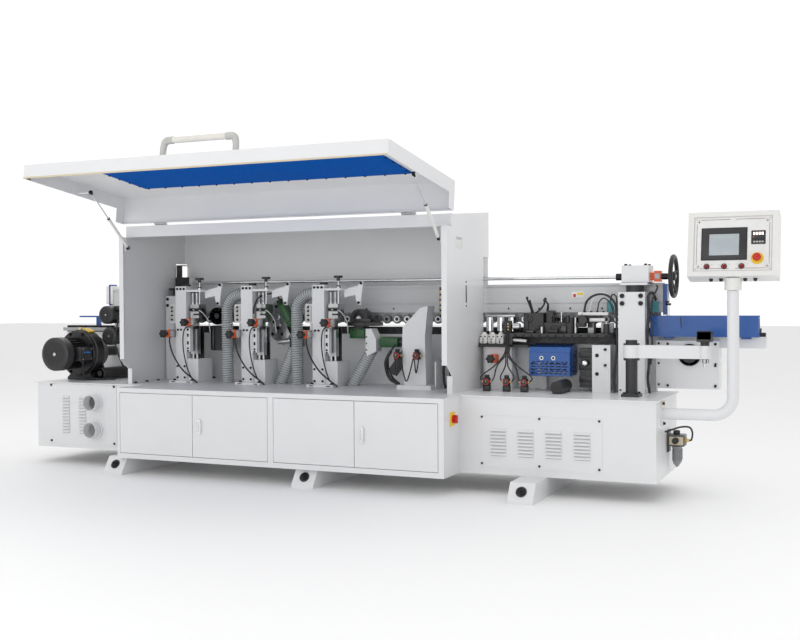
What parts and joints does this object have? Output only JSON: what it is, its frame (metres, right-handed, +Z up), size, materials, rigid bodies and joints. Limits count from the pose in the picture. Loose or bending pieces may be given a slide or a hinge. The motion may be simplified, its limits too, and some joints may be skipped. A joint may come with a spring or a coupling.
{
  "type": "edge banding machine",
  "caption": "Long edge banding machine with lift-up hood, trimming and gluing units, chain feed under a pressure beam, tape carrier and swivelling control panel.",
  "frame": {"origin": "on the floor under the centre of the middle foot, in the plane of the base's front", "axes": "+X along the feed line towards the infeed, +Y to the back, +Z up"},
  "size_m": [4.966, 1.5729, 1.9554],
  "materials": {
    "white_paint": "satin",
    "dark_steel": "oiled",
    "blue_paint": "satin",
    "bright_steel": "ground",
    "orange_plastic": "gloss",
    "green_paint": "satin",
    "black_paint": "satin",
    "black_plastic": "matt",
    "aluminium": "anodised",
    "clear_hose": "clear",
    "black_rubber": "matt",
    "teal_plastic": "gloss",
    "black_steel": "black oxide",
    "yellow_plastic": "gloss",
    "blue_window": "tinted",
    "grey_plastic": "matt",
    "grey_paint": "satin",
    "chrome": "polished",
    "red_plastic": "gloss",
    "grey_rubber": "matt"
  },
  "bodies": {
    "frame": {"base_frame": "white_paint", "front_cabinet": "white_paint", "floor_feet": "white_paint", "service_panels": "white_paint", "hood_shell": "white_paint", "conveyor_beam": "white_paint", "conveyor_chain": "dark_steel", "guide_fences": "blue_paint", "support_columns": "white_paint", "unit_stands": "white_paint", "unit_slides": "bright_steel", "position_counters": "orange_plastic", "trim_motors": "green_paint", "cutter_heads": "black_paint", "feed_motor": "black_paint", "buffing_motors": "black_paint", "end_trim_cover": "white_paint", "air_preparation": "black_plastic", "glue_table": "black_paint", "glue_guard": "blue_paint", "valve_block": "aluminium", "control_pipe": "white_paint", "dust_hoses": "clear_hose", "cables": "black_rubber", "limit_switches": "teal_plastic", "tape_post": "black_paint", "fasteners": "black_steel", "marking_plates": "yellow_plastic"},
    "lid": {"lid_shell": "white_paint", "lid_window": "blue_window", "lid_handle": "grey_plastic"},
    "gas_cylinders": {"gas_spring_cylinders": "grey_paint"},
    "gas_rods": {"gas_spring_rods": "chrome"},
    "door_1": {"cabinet_door_1": "white_paint"},
    "door_2": {"cabinet_door_2": "white_paint"},
    "door_3": {"cabinet_door_3": "white_paint"},
    "door_4": {"cabinet_door_4": "white_paint"},
    "latch_1": {"door_latch_1": "chrome"},
    "latch_2": {"door_latch_2": "chrome"},
    "main_switch": {"main_switch_knob": "red_plastic"},
    "beam": {"pressure_beam": "aluminium", "beam_rollers": "grey_rubber", "lift_gearboxes": "black_paint"},
    "lift_wheel": {"lift_shaft": "chrome", "handwheel": "black_plastic"},
    "control_head": {"control_box": "white_paint", "control_screen": "black_plastic"},
    "stop_button": {"emergency_stop": "red_plastic"},
    "selector_a": {"selector_1": "red_plastic"},
    "selector_b": {"selector_2": "red_plastic"},
    "selector_c": {"selector_3": "red_plastic"},
    "tape_carrier": {"tape_arm": "white_paint"},
    "tape_hub": {"tape_spindle": "black_paint"},
    "knob_1": {"counter_knob_1": "black_plastic"},
    "knob_2": {"counter_knob_2": "black_plastic"},
    "knob_3": {"counter_knob_3": "black_plastic"},
    "knob_4": {"counter_knob_4": "black_plastic"},
    "knob_5": {"counter_knob_5": "black_plastic"},
    "knob_6": {"counter_knob_6": "black_plastic"},
    "knob_7": {"counter_knob_7": "black_plastic"}
  },
  "joints": [
    {"name": "lid_hinge", "type": "hinge", "parent": "frame", "child": "lid", "pos_m": [0, 0.03, 1.562], "axis": [1, 0, 0], "range_deg": [0, 97.2]},
    {"name": "gas_cylinder_pivot", "type": "hinge", "parent": "frame", "child": "gas_cylinders", "pos_m": [0, -0.032, 1.409], "axis": [1, 0, 0], "range_deg": [0, 121.7]},
    {"name": "gas_rod_slide", "type": "slide", "parent": "gas_cylinders", "child": "gas_rods", "axis": [0, -0.7388, 0.6739], "range_m": [-0.1928, 0]},
    {"name": "door_1_hinge", "type": "hinge", "parent": "frame", "child": "door_1", "pos_m": [-1.283, -0.256, 0.321], "axis": [0, 0, 1], "range_deg": [-110, 0]},
    {"name": "door_2_hinge", "type": "hinge", "parent": "frame", "child": "door_2", "pos_m": [-0.237, -0.256, 0.321], "axis": [0, 0, 1], "range_deg": [0, 110]},
    {"name": "door_3_hinge", "type": "hinge", "parent": "frame", "child": "door_3", "pos_m": [-0.195, -0.256, 0.321], "axis": [0, 0, 1], "range_deg": [-110, 0]},
    {"name": "door_4_hinge", "type": "hinge", "parent": "frame", "child": "door_4", "pos_m": [0.822, -0.256, 0.321], "axis": [0, 0, 1], "range_deg": [0, 110]},
    {"name": "latch_1_turn", "type": "hinge", "parent": "door_2", "child": "latch_1", "pos_m": [-0.7, -0.26, 0.319], "axis": [0, 1, 0], "range_deg": [0, 90]},
    {"name": "latch_2_turn", "type": "hinge", "parent": "door_4", "child": "latch_2", "pos_m": [0.372, -0.26, 0.319], "axis": [0, 1, 0], "range_deg": [0, 90]},
    {"name": "main_switch_turn", "type": "hinge", "parent": "frame", "child": "main_switch", "pos_m": [0.88, -0.129, 0.414], "axis": [1, 0, 0], "range_deg": [0, 90]},
    {"name": "handwheel_spin", "type": "hinge", "parent": "beam", "child": "lift_wheel", "pos_m": [1.927, 0.575, 1.192], "axis": [1, 0, 0], "range_deg": [-361, 1441]},
    {"name": "beam_lift", "type": "slide", "parent": "frame", "child": "beam", "axis": [0, 0, 1], "range_m": [-0.01, 0.04]},
    {"name": "control_head_swivel", "type": "hinge", "parent": "frame", "child": "control_head", "pos_m": [2.301, 0.16, 1.1], "axis": [0, 0, 1], "range_deg": [-90, 90]},
    {"name": "stop_press", "type": "slide", "parent": "control_head", "child": "stop_button", "axis": [0, 0.9781, -0.2079], "range_m": [0, 0.006]},
    {"name": "selector_a_turn", "type": "hinge", "parent": "control_head", "child": "selector_a", "pos_m": [2.174, 0.11212, 1.22934], "axis": [0, 0.9781, -0.2079], "range_deg": [-45, 45]},
    {"name": "selector_b_turn", "type": "hinge", "parent": "control_head", "child": "selector_b", "pos_m": [2.261, 0.11212, 1.22934], "axis": [0, 0.9781, -0.2079], "range_deg": [-45, 45]},
    {"name": "selector_c_turn", "type": "hinge", "parent": "control_head", "child": "selector_c", "pos_m": [2.347, 0.11212, 1.22934], "axis": [0, 0.9781, -0.2079], "range_deg": [-45, 45]},
    {"name": "tape_arm_swing", "type": "hinge", "parent": "frame", "child": "tape_carrier", "pos_m": [1.763, 0.23, 0.78], "axis": [0, 0, 1], "range_deg": [-120, 28]},
    {"name": "tape_hub_spin", "type": "hinge", "parent": "tape_carrier", "child": "tape_hub", "pos_m": [2.15, 0.23, 0.78], "axis": [0, 0, 1], "continuous": true},
    {"name": "knob_1_turn", "type": "hinge", "parent": "frame", "child": "knob_1", "pos_m": [-1.122, 0.2, 0.93], "axis": [0, -1, 0], "continuous": true},
    {"name": "knob_2_turn", "type": "hinge", "parent": "frame", "child": "knob_2", "pos_m": [-1.284, 0.2, 0.856], "axis": [0, -1, 0], "continuous": true},
    {"name": "knob_3_turn", "type": "hinge", "parent": "frame", "child": "knob_3", "pos_m": [-0.616, 0.2, 0.93], "axis": [0, -1, 0], "continuous": true},
    {"name": "knob_4_turn", "type": "hinge", "parent": "frame", "child": "knob_4", "pos_m": [-0.778, 0.2, 0.856], "axis": [0, -1, 0], "continuous": true},
    {"name": "knob_5_turn", "type": "hinge", "parent": "frame", "child": "knob_5", "pos_m": [-0.099, 0.2, 0.93], "axis": [0, -1, 0], "continuous": true},
    {"name": "knob_6_turn", "type": "hinge", "parent": "frame", "child": "knob_6", "pos_m": [-0.261, 0.2, 0.856], "axis": [0, -1, 0], "continuous": true},
    {"name": "knob_7_turn", "type": "hinge", "parent": "frame", "child": "knob_7", "pos_m": [0.902, 0.394, 0.717], "axis": [0, -1, 0], "continuous": true}
  ],
  "couplings": [
    {"joint": "gas_cylinder_pivot", "follows": "lid_hinge", "ratio": 1.2512},
    {"joint": "gas_rod_slide", "follows": "lid_hinge", "m_per_rad": -0.11358},
    {"joint": "handwheel_spin", "follows": "beam_lift", "rad_per_m": 628.32}
  ]
}
